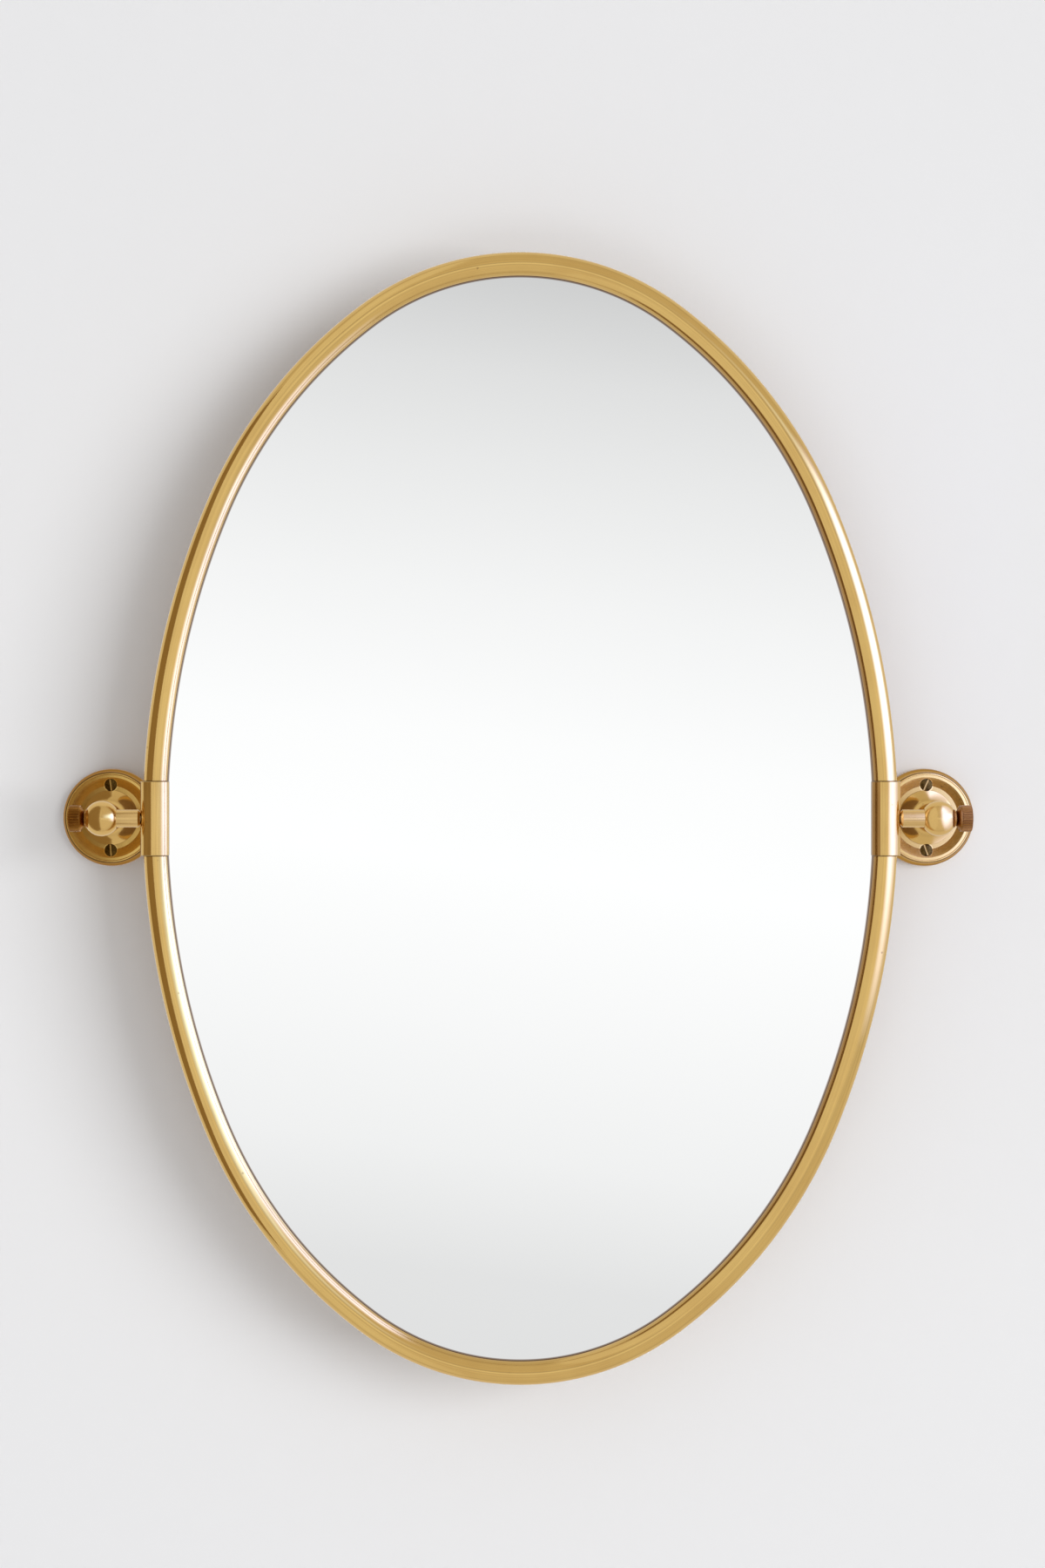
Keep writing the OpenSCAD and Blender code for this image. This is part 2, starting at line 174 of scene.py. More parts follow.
def soft_light(name, place, wide, high, glow, towards=(0, 0, 0)):
    """A rectangle of light that metal and glass don't show."""
    lamp = bpy.data.objects.new(name, bpy.data.lights.new(name, "AREA"))
    bpy.context.scene.collection.objects.link(lamp)
    lamp.data.shape = "RECTANGLE"
    lamp.data.size = wide
    lamp.data.size_y = high
    lamp.data.energy = glow * wide * high * math.pi
    lamp.location = place
    aim = Vector(towards) - Vector(place)
    lamp.rotation_euler = aim.to_track_quat("-Z", "Y").to_euler()
    lamp.visible_camera = False
    lamp.visible_glossy = False


soft_light("key", (16.2, -17.4, 1.9), wide=15.0, high=14.0, glow=4.9)
soft_light("floor_bounce", (-0.1, -2.4, -0.8), wide=2.0, high=0.8, glow=1.35, towards=(0, 0, -1.0))
# Behind the wall, for the views from behind
soft_light("back_fill", (0.6, 3.0, 1.2), wide=2.5, high=2.5, glow=1.6)

WINDOW_BLUE = (1.25, 1.75, 5.8)     # cool, so that warm brass shows it nearly white
CARD_WHITE = (0.91, 0.91, 0.91)
CARD_BROWN = (0.34, 0.25, 0.14)


def axes(tree, place):
    """The X, Y and Z of a place or a direction."""
    split = node(tree, "ShaderNodeSeparateXYZ")
    feed(tree, split.inputs[0], place)
    return split.outputs


def ramp(tree, value, *stops):
    """Colours at places from 0 to 1; a plain number is a grey."""
    made = node(tree, "ShaderNodeValToRGB")
    band = made.color_ramp
    while len(band.elements) < len(stops):
        band.elements.new(0.5)
    for element, (at, colour) in zip(band.elements, stops):
        element.position = at
        element.color = (*colour, 1) if isinstance(colour, tuple) else (colour, colour, colour, 1)
    feed(tree, made.inputs[0], value)
    return made.outputs[0]


def light_card(name, near, far, low, high, glow, faded=False):
    """A standing card that only metal and glass show, from the plan point near to the plan point
    far. A faded one is a window's glow: it dies away to its edges and hides nothing."""
    clear_selection()
    bpy.ops.mesh.primitive_plane_add(size=1, location=(0, 0, 0))
    card = bpy.context.active_object
    card.name = name
    for corner in card.data.vertices:
        share, rise = corner.co.x + 0.5, corner.co.y + 0.5
        corner.co = (near[0] + (far[0] - near[0]) * share,
                     near[1] + (far[1] - near[1]) * share,
                     low + (high - low) * rise)
    shine = bpy.data.materials.new(name)
    shine.use_nodes = True
    tree = shine.node_tree
    tree.nodes.remove(tree.nodes["Principled BSDF"])
    light = node(tree, "ShaderNodeEmission", Color=(*glow, 1))
    surface = light.outputs[0]
    if faded:
        on_card = axes(tree, node(tree, "ShaderNodeTexCoord").outputs["UV"])
        width = ramp(tree, on_card["X"], (0.0, 0.0), (0.30, 0.25), (0.50, 0.6), (0.70, 1.0),
                     (0.80, 0.9), (0.90, 0.4), (1.0, 0.1))
        rise = ramp(tree, on_card["Y"], (0.0, 0.0), (0.31, 1.0), (0.76, 1.0), (1.0, 0.0))
        feed(tree, light.inputs["Strength"], sums(tree, "MULTIPLY", width, rise))
        both = node(tree, "ShaderNodeAddShader")
        feed(tree, both.inputs[0], surface)
        feed(tree, both.inputs[1], node(tree, "ShaderNodeBsdfTransparent").outputs[0])
        surface = both.outputs[0]
    feed(tree, tree.nodes["Material Output"].inputs["Surface"], surface)
    card.data.materials.append(shine)
    card.visible_camera = False
    card.visible_diffuse = False
    card.visible_transmission = False
    card.visible_shadow = False


light_card("window_card", (0.32, -0.56), (0.372, -0.03), -0.20, 0.38, WINDOW_BLUE, faded=True)
light_card("left_card", (-0.2845, -0.177), (-0.54, -3.2), -2.0, 2.0, CARD_WHITE)
light_card("dark_card", (-0.30, -0.19), (-0.40, -0.055), -0.43, 0.43, CARD_BROWN)


def fade(tree, value, low, high, start=0.0, end=1.0):
    """Goes from start to end while the value goes from low to high."""
    made = node(tree, "ShaderNodeMapRange")
    for slot, number in zip(made.inputs, (value, low, high, start, end)):
        feed(tree, slot, number)
    return made.outputs[0]


def tint(tree, share, under, over, kind="MIX"):
    """Lays the colour over on the colour under, by a share from 0 to 1."""
    made = node(tree, "ShaderNodeMix", data_type="RGBA", blend_type=kind)
    feed(tree, made.inputs[0], share)
    feed(tree, made.inputs[6], under)
    feed(tree, made.inputs[7], over)
    return made.outputs[2]


DAYLIGHT = (0.9, 1.5, 3.4)
BLACK = (0.0, 0.0, 0.0)

world = bpy.data.worlds.new("studio")
world.use_nodes = True
bpy.context.scene.world = world
sky = world.node_tree
across, ahead, up = axes(sky, node(sky, "ShaderNodeTexCoord").outputs["Generated"])
# Height of a direction, leaning a little to the right, from 0 far below to 1 far above
lean = sums(sky, "MULTIPLY_ADD", across, 0.13, sums(sky, "MULTIPLY", up, 0.99))
height = sums(sky, "MULTIPLY_ADD", lean, 2.0, 0.5)
room = ramp(sky, height,
            (0.0, (0.82, 0.80, 0.77)), (0.12, 0.74), (0.195, 0.765), (0.27, 0.875), (0.36, 0.94),
            (0.45, 1.0), (0.53, 0.98), (0.62, 0.905), (0.71, 0.808), (0.76, 0.745), (0.84, 0.585),
            (1.0, (0.74, 0.70, 0.63)))
# Daylight from the front right, above eye level: 0.5 is straight in front of the mirror and 0.75
# square to its right
turned = sums(sky, "ARCTAN2", across, sums(sky, "MULTIPLY", ahead, -1.0))
around = sums(sky, "MULTIPLY_ADD", turned, 0.5 / math.pi, 0.5)
lit = ramp(sky, around,
           (0.0, 0.0), (0.53, 0.0), (0.59, 0.5), (0.65, 1.0), (0.73, 1.0), (0.78, 0.0))
risen = sums(sky, "MULTIPLY", fade(sky, up, 0.0, 0.09), fade(sky, up, 0.30, 0.46, 1.0, 0.0))
daylight = tint(sky, sums(sky, "MULTIPLY", lit, risen), BLACK, DAYLIGHT)
daylit = tint(sky, 1.0, room, daylight, "ADD")
# The wall's side of the room is a little dimmer all round
behind = fade(sky, ahead, -0.35, 0.1, 1.02, 0.84)
seen_in_metal = node(sky, "ShaderNodeBackground")
feed(sky, seen_in_metal.inputs["Color"], daylit)
feed(sky, seen_in_metal.inputs["Strength"], behind)
ambient = node(sky, "ShaderNodeBackground", Color=(1.0, 1.0, 1.0, 1), Strength=0.54)
backdrop = node(sky, "ShaderNodeBackground", Color=(0.80, 0.80, 0.81, 1), Strength=1.0)
route = node(sky, "ShaderNodeLightPath").outputs
by_light = mix_shaders(sky, route["Is Glossy Ray"], ambient.outputs[0], seen_in_metal.outputs[0])
by_eye = mix_shaders(sky, route["Is Camera Ray"], by_light, backdrop.outputs[0])
feed(sky, sky.nodes["World Output"].inputs["Surface"], by_eye)
bpy.context.scene.view_settings.view_transform = "Standard"

# ---------------------------------------------------------------- frame tube
# Two bent halves of 16 mm brass tube, 1 mm thick, with a slot along the inner side for the pane.
# The brass is polished by hand along its length and left to mellow, so it has fine lines that
# run with the tube, a slightly uneven tone and a few small spots.

AXIS_GAP = 0.065            # wall to the middle of the tube
TUBE_R = 0.008
TUBE_WALL = 0.001
SLOT_FRONT = 0.0002         # the slot's two edges, behind the middle of the tube
SLOT_REAR = 0.0069
HALF_W = 0.246              # middle of the tube, from the middle of the mirror
HALF_H = 0.373
HALVES_GAP = 0.0005
LOW_ANGLE = math.degrees(math.atan2(5, 12))     # where side arc and shoulder arc meet
HIGH_ANGLE = math.degrees(math.atan2(4, 3))     # where shoulder arc and end arc meet
SIDE_FULLNESS = 0.958       # the side arc's radius, against a true ellipse's
SIDE_STEPS = 46
SHOULDER_STEPS = 36
END_STEPS = 51              # odd, so that a flat and not a corner lies at the very top
RING_POINTS = 72
TUBE_MAP = "along_tube"
EDGE_FROM = math.radians(131)       # the inner edge, as a turn from the outer side of the tube
EDGE_TO = math.radians(135)
SATIN = (0.71, 0.475, 0.16)
# Painted dark reflection beside the glass, along the inner edge of the tube and the right collar
EDGE_SHADE = (0.30, 0.145, 0.04)
TARNISH = (0.56, 0.33, 0.10)
SPOT = (0.16, 0.08, 0.03)
JOINT_SHADE_TONE = (0.07, 0.035, 0.012)
# Painted shade where the collars meet the tube
CLOUDS = 22.0               # waves a metre in the uneven tone
SPOT_CELLS = 140.0          # cells a metre, of which one in ten has a spot
LINE_DEPTH = 0.00006
DENT_DEPTH = 0.00025


def oval_arcs(half_w, half_h):
    """Centres and radii, in millimetres, of the side, shoulder and end arcs of the oval. The arcs
    meet on the slopes of the 5-12-13 and the 3-4-5 triangle, so all of them are short numbers."""
    want = SIDE_FULLNESS * half_h * half_h / half_w
    a1, a2, a3 = 3 / 5 - 12 / 13, -3 / 5, want * (1 - 12 / 13) - half_w
    b1, b2, b3 = 4 / 5 - 5 / 13, 1 - 4 / 5, half_h - want * 5 / 13
    solve = a1 * b2 - a2 * b1
    shoulder = (a3 * b2 - a2 * b3) / solve
    end = (a1 * b3 - b1 * a3) / solve
    low_step = round((want - shoulder) / 13, 3)
    high_step = round((shoulder - end) / 5, 3)
    side_r = half_w + 12 * low_step + 3 * high_step
    shoulder_r = side_r - 13 * low_step
    end_r = shoulder_r - 5 * high_step
    side = (half_w - side_r, 0.0)
    shoulder_at = (side[0] + 12 * low_step, 5 * low_step)
    end_at = (shoulder_at[0] + 3 * high_step, shoulder_at[1] + 4 * high_step)
    return [(side, side_r), (shoulder_at, shoulder_r), (end_at, end_r)]


side_arc, shoulder_arc, end_arc = oval_arcs(HALF_W * 1000, HALF_H * 1000)
(side_at, side_r), (shoulder_at, shoulder_r), (end_at, end_r) = side_arc, shoulder_arc, end_arc


def on_tube_map(tree):
    return node(tree, "ShaderNodeUVMap", uv_map=TUBE_MAP).outputs[0]


def tube_lines(*scale):
    """Polishing lines that run with the tube; scale is how fine they are along and round it."""
    def lay(tree, place):
        stretch = node(tree, "ShaderNodeMapping", Scale=scale)
        feed(tree, stretch.inputs["Vector"], on_tube_map(tree))
        return stretch.outputs[0]
    return lay


def straight_lines(*scale):
    """Polishing lines by place, finely spaced where the scale is large. They run along the axis
    with the smallest scale."""
    def lay(tree, place):
        stretch = node(tree, "ShaderNodeMapping", Scale=scale)
        feed(tree, stretch.inputs["Vector"], place)
        return stretch.outputs[0]
    return lay


def shaded_inner_edge(tree, place):
    """Painted dark reflection: a brown band along the tube's inner edge beside the glass, mostly
    at the right.
    """
    turn = sums(tree, "DIVIDE", axes(tree, on_tube_map(tree))["Y"], -TUBE_R)
    edge = fade(tree, turn, EDGE_FROM, EDGE_TO)
    shade_to_right = fade(tree, axes(tree, place)["X"], 0.05, 0.19, 0.08, 0.85)
    return tint(tree, sums(tree, "MULTIPLY", edge, shade_to_right), SATIN, EDGE_SHADE)


def shade_by_height(*stops):
    """Painted shade in dark bands, by the height above or below the pivots in millimetres."""
    reach = 100.0

    def mark(tree, place):
        off = sums(tree, "ABSOLUTE", axes(tree, place)["Z"])
        off = sums(tree, "MULTIPLY", off, 1000 / reach)
        return ramp(tree, off, *[(at / reach, share) for at, share in stops])
    return mark


def brass(name, tone, lines, rough, tarnish=TARNISH, tarnish_share=0.3, spots=0.5,
          line_depth=0.10, line_tone=0.10, joint_shade=None):
    """Satin brass: an uneven tone, fine polishing lines, small tarnish spots and, where asked,
    bands of painted shade at the joints. tone is a colour, or a function that gives one by the
    place on the piece."""
    metal, tree, skin, place = new_finish(name)
    skin.inputs["Metallic"].default_value = 1.0
    line = noise(tree, lines(tree, place), 1.0, 5.0, 0.6)
    cloud = noise(tree, place, CLOUDS, 4.0, 0.6)
    fine = noise(tree, place, CLOUDS * 14, 3.0, 0.6)
    clean = tone(tree, place) if callable(tone) else tone
    mellow = tint(tree, fade(tree, cloud, 0.42, 0.72, 0.0, tarnish_share), clean, tarnish)
    bright = fade(tree, line, 0.35, 0.68, 1 - line_tone, 1 + line_tone * 0.6)
    lined = tint(tree, 1.0, mellow, bright, "MULTIPLY")
    speck = node(tree, "ShaderNodeTexVoronoi", Scale=SPOT_CELLS, Randomness=1.0)
    feed(tree, speck.inputs["Vector"], place)
    lot = node(tree, "ShaderNodeSeparateColor")
    feed(tree, lot.inputs[0], speck.outputs["Color"])
    spot = sums(tree, "MULTIPLY", fade(tree, speck.outputs["Distance"], 0.04, 0.16, spots, 0.0),
                sums(tree, "GREATER_THAN", lot.outputs[0], 0.90))
    worn_and_shaded = tint(tree, spot, lined, SPOT)
    # Painted shade at the joints, by height, laid over the worn colour
    if joint_shade:
        worn_and_shaded = tint(tree, joint_shade(tree, place), worn_and_shaded, JOINT_SHADE_TONE)
    feed(tree, skin.inputs["Base Color"], worn_and_shaded)
    rubbed = sums(tree, "MULTIPLY_ADD", line, 0.5, sums(tree, "MULTIPLY", fine, 0.5))
    feed(tree, skin.inputs["Roughness"], fade(tree, rubbed, 0.3, 0.7, rough * 0.8, rough * 1.25))
    scored = relief(tree, line, line_depth, LINE_DEPTH)
    feed(tree, skin.inputs["Normal"], relief(tree, cloud, 0.12, DENT_DEPTH, scored))
    return metal


def bend_tube(steps, angle, centre):
    """Draws the selected ring on round a centre, by an angle in degrees."""
    bpy.ops.mesh.spin(steps=steps, angle=math.radians(angle), dupli=False,
                      center=(centre[0] / 1000, -AXIS_GAP, centre[1] / 1000), axis=(0, 1, 0))


def lengthwise_map(thing):
    """UV map with metres along the tube and metres round it, for the polishing lines."""
    layer = thing.data.uv_layers.new(name=TUBE_MAP)
    top = 90.0
    quarter = [(side_at, side_r, 0.0, LOW_ANGLE),
               (shoulder_at, shoulder_r, LOW_ANGLE, HIGH_ANGLE),
               (end_at, end_r, HIGH_ANGLE, top)]
    quarter_len = sum(r * math.radians(stop - start) for _, r, start, stop in quarter)
    for loop in thing.data.loops:
        x, y, z = thing.data.vertices[loop.vertex_index].co * 1000
        run = 0.0
        for (cx, cz), r, start, stop in quarter:
            angle = math.degrees(math.atan2(abs(z) - cz, abs(x) - cx))
            if angle <= stop or stop == top:
                run += r * math.radians(angle - start)
                out = math.hypot(abs(x) - cx, abs(z) - cz) - r
                break
            run += r * math.radians(stop - start)
        if x < 0:
            run = 2 * quarter_len - run
        round_it = math.atan2(y + AXIS_GAP * 1000, out) * TUBE_R
        layer.data[loop.index].uv = (run / 1000, round_it)


def frame_half(name, cad_name, below):
    """Bends an open ring round half of the oval, gives it its wall and puts it in its place."""
    clear_selection()
    bpy.ops.mesh.primitive_circle_add(vertices=RING_POINTS, radius=TUBE_R, fill_type="NOTHING",
                                      location=(HALF_W, -AXIS_GAP, HALVES_GAP / 2))
    half = bpy.context.active_object
    half.name = name
    bpy.ops.object.transform_apply(location=True)
    # Open the ring for the slot, on its inner side, and set the two lips to the slot's edges
    for vert in half.data.vertices:
        depth = vert.co.y + AXIS_GAP
        vert.select = vert.co.x < HALF_W and SLOT_FRONT < depth < SLOT_REAR
    for edge in half.data.edges:
        edge.select = False
    bpy.ops.object.mode_set(mode="EDIT")
    bpy.ops.mesh.delete(type="VERT")
    bpy.ops.object.mode_set(mode="OBJECT")
    inner = [vert for vert in half.data.vertices if vert.co.x < HALF_W]
    for lip in (SLOT_FRONT, SLOT_REAR):
        edge_vert = min(inner, key=lambda vert: abs(vert.co.y + AXIS_GAP - lip))
        edge_vert.co.x = HALF_W - math.sqrt(TUBE_R ** 2 - lip ** 2)
        edge_vert.co.y = lip - AXIS_GAP
    bpy.ops.object.mode_set(mode="EDIT")
    bpy.ops.mesh.select_all(action="SELECT")
    bend_tube(SIDE_STEPS, LOW_ANGLE, side_at)
    bend_tube(SHOULDER_STEPS, HIGH_ANGLE - LOW_ANGLE, shoulder_at)
    bend_tube(END_STEPS, 180 - 2 * HIGH_ANGLE, end_at)
    bend_tube(SHOULDER_STEPS, HIGH_ANGLE - LOW_ANGLE, (-shoulder_at[0], shoulder_at[1]))
    bend_tube(SIDE_STEPS, LOW_ANGLE, (-side_at[0], side_at[1]))
    bpy.ops.mesh.select_all(action="SELECT")
    bpy.ops.mesh.remove_doubles(threshold=0.00001)
    if below:
        bpy.ops.transform.mirror(constraint_axis=(False, False, True), center_override=(0, 0, 0))
    bpy.ops.mesh.normals_make_consistent(inside=False)
    bpy.ops.object.mode_set(mode="OBJECT")
    wall_thickness = half.modifiers.new("tube wall", "SOLIDIFY")
    wall_thickness.thickness = TUBE_WALL
    wall_thickness.offset = -1
    wall_thickness.use_even_offset = True
    bpy.ops.object.modifier_apply(modifier="tube wall")
    bpy.ops.object.shade_smooth_by_angle(angle=math.radians(40))
    lengthwise_map(half)
    half.data.materials.append(tube_brass)
    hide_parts(cad_name)
    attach(half, "mirror")


# Painted shade: under the collars and just past their ends the tube is dark
tube_brass = brass("tube_brass", shaded_inner_edge, tube_lines(9.0, 1400.0, 1.0), rough=0.115,
                   line_tone=0.07, line_depth=0.07,
                   joint_shade=shade_by_height((0.0, 0.8), (25.3, 0.8), (25.7, 0.0)))
frame_half("upper_tube", "upper_frame_tube", below=False)
frame_half("lower_tube", "lower_frame_tube", below=True)

# ---------------------------------------------------------------- collars and spacers
# Turned brass sleeves over the joints of the tube, drawn lengthwise with fine emery, and the
# short turned spacers that keep the frame off the balls.


def dress(material, *names):
    """Gives CAD nodes this finish."""
    for name in names:
        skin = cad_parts[name].data
        skin.materials.clear()
        skin.materials.append(material)


COLLAR_SATIN = (0.71, 0.475, 0.165)
SPACER_SATIN = (0.74, 0.50, 0.20)


def shaded_collar_edge(tree, place):
    """Painted dark reflection: the right collar has the same brown band beside the glass."""
    here = axes(tree, place)
    off_middle = sums(tree, "SUBTRACT", here["X"], HALF_W)
    share = sums(tree, "MULTIPLY", fade(tree, off_middle, -0.0052, -0.0046, 0.92, 0.0),
                 sums(tree, "GREATER_THAN", here["X"], 0.0))
    return tint(tree, share, COLLAR_SATIN, EDGE_SHADE)


# Painted shade darkens the collars' ends where they meet the tube
collar_brass = brass("collar_brass", shaded_collar_edge, straight_lines(1500.0, 1500.0, 14.0),
                     rough=0.13, tarnish_share=0.4, line_tone=0.14, spots=0.7,
                     joint_shade=shade_by_height((0.0, 0.0), (24.4, 0.0), (24.8, 0.55), (25.2, 0.8)))
dress(collar_brass, "left_collar", "right_collar")
spacer_brass = brass("spacer_brass", SPACER_SATIN, straight_lines(16.0, 1600.0, 1600.0),
                     rough=0.20, line_depth=0.2, line_tone=0.16)
dress(spacer_brass, "left_spacer", "right_spacer")

# ---------------------------------------------------------------- pane
# Float glass, silvered on its back, on a thin hardboard, both held in the slot of the tube by a
# strip of black rubber. Beside the tube a narrow dark line is painted into the silver, a painted
# reflection of the dark slot.


def inside_oval(tree, place):
    """How far a place lies inside the middle line of the tube, in metres."""
    here = axes(tree, place)
    out = sums(tree, "ABSOLUTE", here["X"])
    rise = sums(tree, "ABSOLUTE", here["Z"])

    def arc(centre, radius):
        dx = sums(tree, "SUBTRACT", out, centre[0] / 1000)
        dz = sums(tree, "SUBTRACT", rise, centre[1] / 1000)
        squares = sums(tree, "ADD", sums(tree, "POWER", dx, 2.0), sums(tree, "POWER", dz, 2.0))
        return dx, dz, sums(tree, "SUBTRACT", radius / 1000, sums(tree, "SQRT", squares))

    # The slopes are those of LOW_ANGLE and HIGH_ANGLE, where one arc ends and the next begins
    dx, dz, by_side = arc(*side_arc)
    past_side = sums(tree, "GREATER_THAN", sums(tree, "MULTIPLY", dz, 12 / 5), dx)
    dx, dz, by_shoulder = arc(*shoulder_arc)
    past_shoulder = sums(tree, "GREATER_THAN", sums(tree, "MULTIPLY", dz, 3 / 4), dx)
    by_end = arc(*end_arc)[2]
    above = fade(tree, past_shoulder, 0.0, 1.0, by_shoulder, by_end)
    return fade(tree, past_side, 0.0, 1.0, by_side, above)


SILVER = (0.985, 0.99, 0.99)
DULL_SILVER = (0.97, 0.98, 0.978)
SLOT_SHADOW = (0.18, 0.085, 0.03)
SHADOW_FROM = TUBE_R + 0.0007
SHADOW_TO = TUBE_R + 0.0012


def silvered_glass():
    made, tree, skin, place = new_finish("silvered_glass")
    skin.inputs["Metallic"].default_value = 1.0
    haze = noise(tree, place, 7.0, 5.0, 0.6)
    feed(tree, skin.inputs["Roughness"], fade(tree, haze, 0.4, 0.8, 0.0, 0.035))
    # Painted reflection: a narrow dark brown line in the silver beside the tube
    beside_tube = fade(tree, inside_oval(tree, place), SHADOW_FROM, SHADOW_TO, 0.8, 0.0)
    silver = tint(tree, haze, SILVER, DULL_SILVER)
    feed(tree, skin.inputs["Base Color"], tint(tree, beside_tube, silver, SLOT_SHADOW))
    return made


dress(silvered_glass(), "mirror_glass")


def grained(name, light, dark, scale, rough, depth, metallic=0.0):
    """A finish with two tones in a fine grain."""
    made, tree, skin, place = new_finish(name)
    skin.inputs["Metallic"].default_value = metallic
    grain = noise(tree, place, scale, 6.0, 0.65)
    feed(tree, skin.inputs["Base Color"], tint(tree, fade(tree, grain, 0.3, 0.7), dark, light))
    feed(tree, skin.inputs["Roughness"], fade(tree, grain, 0.0, 1.0, rough * 0.85, rough * 1.15))
    feed(tree, skin.inputs["Normal"], relief(tree, grain, 0.4, depth))
    return made


HARDBOARD_LIGHT = (0.30, 0.18, 0.09)
HARDBOARD_DARK = (0.19, 0.11, 0.055)
RUBBER_LIGHT = (0.035, 0.034, 0.033)
RUBBER_DARK = (0.015, 0.015, 0.015)

dress(grained("hardboard", HARDBOARD_LIGHT, HARDBOARD_DARK, scale=420.0, rough=0.75,
              depth=0.0002), "backing_board")
dress(grained("strip_rubber", RUBBER_LIGHT, RUBBER_DARK, scale=900.0, rough=0.6, depth=0.00005),
      "upper_glazing_strip", "lower_glazing_strip")

# ---------------------------------------------------------------- posts, balls and wall plates
# The bell-footed posts and the balls are turned from solid bar and polished on the lathe. The
# plates are turned too; their dish has gone brown where no cloth reaches. Painted shade darkens
# the groove and the line round the foot, a painted highlight lies on the bead, and the rim is
# darkened as a painted reflection of the shaded wall, most on the left plate in the mirror's
# shadow.

BRACKET_X = 0.2816          # the plates' middles
SCREW_RISE = 0.0225
TONE_REACH = 40             # millimetres over which the plate's tones are laid
POST_SATIN = (0.71, 0.465, 0.155)
BALL_SATIN = (0.72, 0.475, 0.165)
TAN = (0.71, 0.475, 0.14)
BRIGHT = (0.78, 0.54, 0.18)
DULL = (0.57, 0.37, 0.105)
BROWN = (0.60, 0.375, 0.09)
# Painted reflection of the shaded wall on the rims, darker on the left plate in the mirror's
# shadow
LEFT_RIM_SHADE = (0.40, 0.215, 0.07)
RIGHT_RIM_SHADE = (0.55, 0.33, 0.11)
# Painted shade in the groove and round the foot
CREASE_SHADE = (0.20, 0.10, 0.03)
EDGE_TINT = (0.62, 0.48, 0.34, 1.0)     # the brown skirt doesn't go pale where it turns away


def off_axis(tree, place, centre_x, centre_z=0.0):
    """Distance in millimetres from a line that stands out from the wall, or from the nearer of
    two that stand as far above the pivots as below them."""
    here = axes(tree, place)
    flat = node(tree, "ShaderNodeCombineXYZ")
    feed(tree, flat.inputs["X"], sums(tree, "SUBTRACT", here["X"], centre_x))
    rise = sums(tree, "ABSOLUTE", here["Z"])
    feed(tree, flat.inputs["Z"], sums(tree, "SUBTRACT", rise, centre_z))
    length = node(tree, "ShaderNodeVectorMath", operation="LENGTH")
    feed(tree, length.inputs[0], flat.outputs[0])
    return sums(tree, "MULTIPLY", length.outputs["Value"], 1000.0)


def lathe_lines(centre_x, per_mm):
    """Polishing lines in rings round a bracket's middle."""
    def lay(tree, place):
        ring = node(tree, "ShaderNodeCombineXYZ")
        radius = off_axis(tree, place, centre_x)
        feed(tree, ring.inputs["X"], sums(tree, "MULTIPLY", radius, per_mm))
        return ring.outputs[0]
    return lay


def plate_tone(centre_x, rim_shade):
    """The plate's tone by its distance from the middle, with painted shade and a painted highlight
    in its rings, and rubbed bright round each screw.
    """
    def tone(tree, place):
        radius = sums(tree, "MULTIPLY", off_axis(tree, place, centre_x), 1 / TONE_REACH)
        # Painted light in the rings: painted shade round the foot and in the groove outside the
        # bead, a painted highlight on the bead, and a rim darkened as painted reflection of the
        # shaded wall
        bands = [(18.0, TAN), (18.7, CREASE_SHADE), (19.1, DULL), (21.5, DULL), (23.5, BROWN),
                 (26.0, BROWN), (27.9, TAN), (29.3, TAN), (29.8, BRIGHT), (30.6, BRIGHT),
                 (30.8, CREASE_SHADE), (31.1, CREASE_SHADE), (31.4, rim_shade), (33.7, rim_shade)]
        ringed = ramp(tree, radius, *[(at / TONE_REACH, colour) for at, colour in bands])
        by_screw = off_axis(tree, place, centre_x, SCREW_RISE)
        return tint(tree, fade(tree, by_screw, 4.75, 5.1, 1.0, 0.0), ringed, BRIGHT)
    return tone


for side, x, rim_shade in (("left", -BRACKET_X, LEFT_RIM_SHADE), ("right", BRACKET_X, RIGHT_RIM_SHADE)):
    dress(brass(side + "_post_brass", POST_SATIN, lathe_lines(x, 2.6), rough=0.14,
                tarnish_share=0.35), side + "_post")
    dress(brass(side + "_ball_brass", BALL_SATIN, lathe_lines(x, 1.5), rough=0.19,
                tarnish_share=0.25, line_depth=0.02, line_tone=0.03), side + "_ball")
    plate_brass = brass(side + "_plate_brass", plate_tone(x, rim_shade), lathe_lines(x, 2.6), rough=0.2)
    plate_skin = plate_brass.node_tree.nodes["Principled BSDF"]
    plate_skin.inputs["Specular Tint"].default_value = EDGE_TINT
    dress(plate_brass, side + "_wall_plate")

# ---------------------------------------------------------------- screws and studs
# Slotted countersunk wood screws with a dark oxide finish, rubbed down to the brass in the slot
# by the screwdriver. The pivot studs and the screws behind the posts are plain bronzed steel, the
# plugs inside the tube ends are brass, and all of them hardly show.

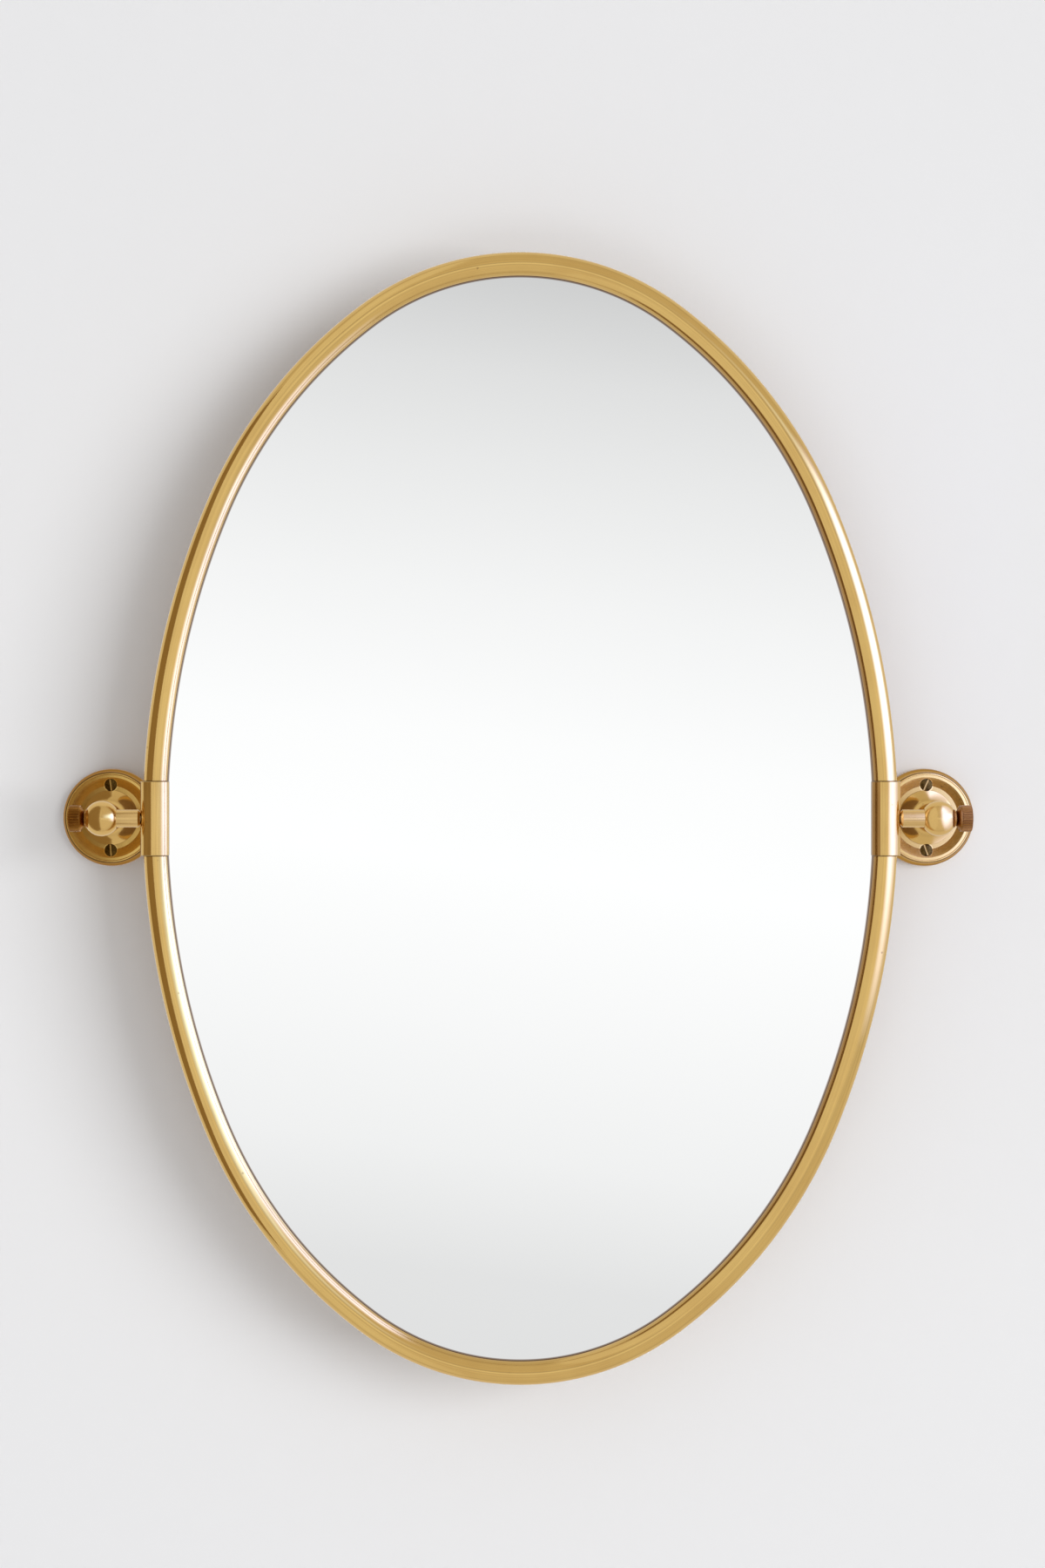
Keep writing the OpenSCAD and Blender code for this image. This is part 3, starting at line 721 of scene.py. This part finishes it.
SLOT_FLOOR = 0.0089         # from the wall
HEAD_EDGE = 0.0094
OXIDE = (0.035, 0.018, 0.004)
RUBBED_OXIDE = (0.16, 0.09, 0.018)
BARE_DARK = (0.46, 0.27, 0.07)
BARE_LIGHT = (0.66, 0.43, 0.13)
STEEL_LIGHT = (0.36, 0.24, 0.11)
STEEL_DARK = (0.22, 0.13, 0.05)
PLUG_SATIN = (0.74, 0.47, 0.18)


def worn_screw():
    made, tree, skin, place = new_finish("dark_screw")
    skin.inputs["Metallic"].default_value = 1.0
    from_wall = sums(tree, "MULTIPLY", axes(tree, place)["Y"], -1.0)
    grain = noise(tree, place, 900.0, 5.0, 0.65)
    oxide = tint(tree, fade(tree, grain, 0.35, 0.7), OXIDE, RUBBED_OXIDE)
    bare = tint(tree, grain, BARE_DARK, BARE_LIGHT)
    in_slot = fade(tree, from_wall, SLOT_FLOOR + 0.0001, HEAD_EDGE, 1.0, 0.0)
    feed(tree, skin.inputs["Base Color"], tint(tree, in_slot, oxide, bare))
    feed(tree, skin.inputs["Roughness"], fade(tree, grain, 0.0, 1.0, 0.28, 0.46))
    feed(tree, skin.inputs["Normal"], relief(tree, grain, 0.4, 0.00006))
    return made


dress(worn_screw(), "left_wall_screws", "right_wall_screws")
dress(grained("bronzed_steel", STEEL_LIGHT, STEEL_DARK, scale=500.0, rough=0.32, depth=0.00003,
              metallic=1.0),
      "left_pivot_stud", "right_pivot_stud", "left_post_screw", "right_post_screw")
dress(brass("plug_brass", PLUG_SATIN, straight_lines(600.0, 600.0, 30.0), rough=0.3),
      "left_joint_plug", "right_joint_plug")

# ---------------------------------------------------------------- washers and knobs
# The knobs are handled, so their brass has gone a coppery brown in uneven patches. A thin
# washer lies under each.

LEFT_KNOB = (0.42, 0.20, 0.04)
RIGHT_KNOB = (0.29, 0.13, 0.03)
HAND_BROWN = (0.22, 0.09, 0.018)
WASHER_BROWN = (0.36, 0.15, 0.03)

for side, tone in (("left", LEFT_KNOB), ("right", RIGHT_KNOB)):
    dress(brass(side + "_knob_brass", tone, straight_lines(300.0, 300.0, 300.0), rough=0.24,
                tarnish=HAND_BROWN, tarnish_share=0.75), side + "_knob")
dress(brass("washer_brass", WASHER_BROWN, straight_lines(200.0, 900.0, 900.0), rough=0.25),
      "left_washer", "right_washer")
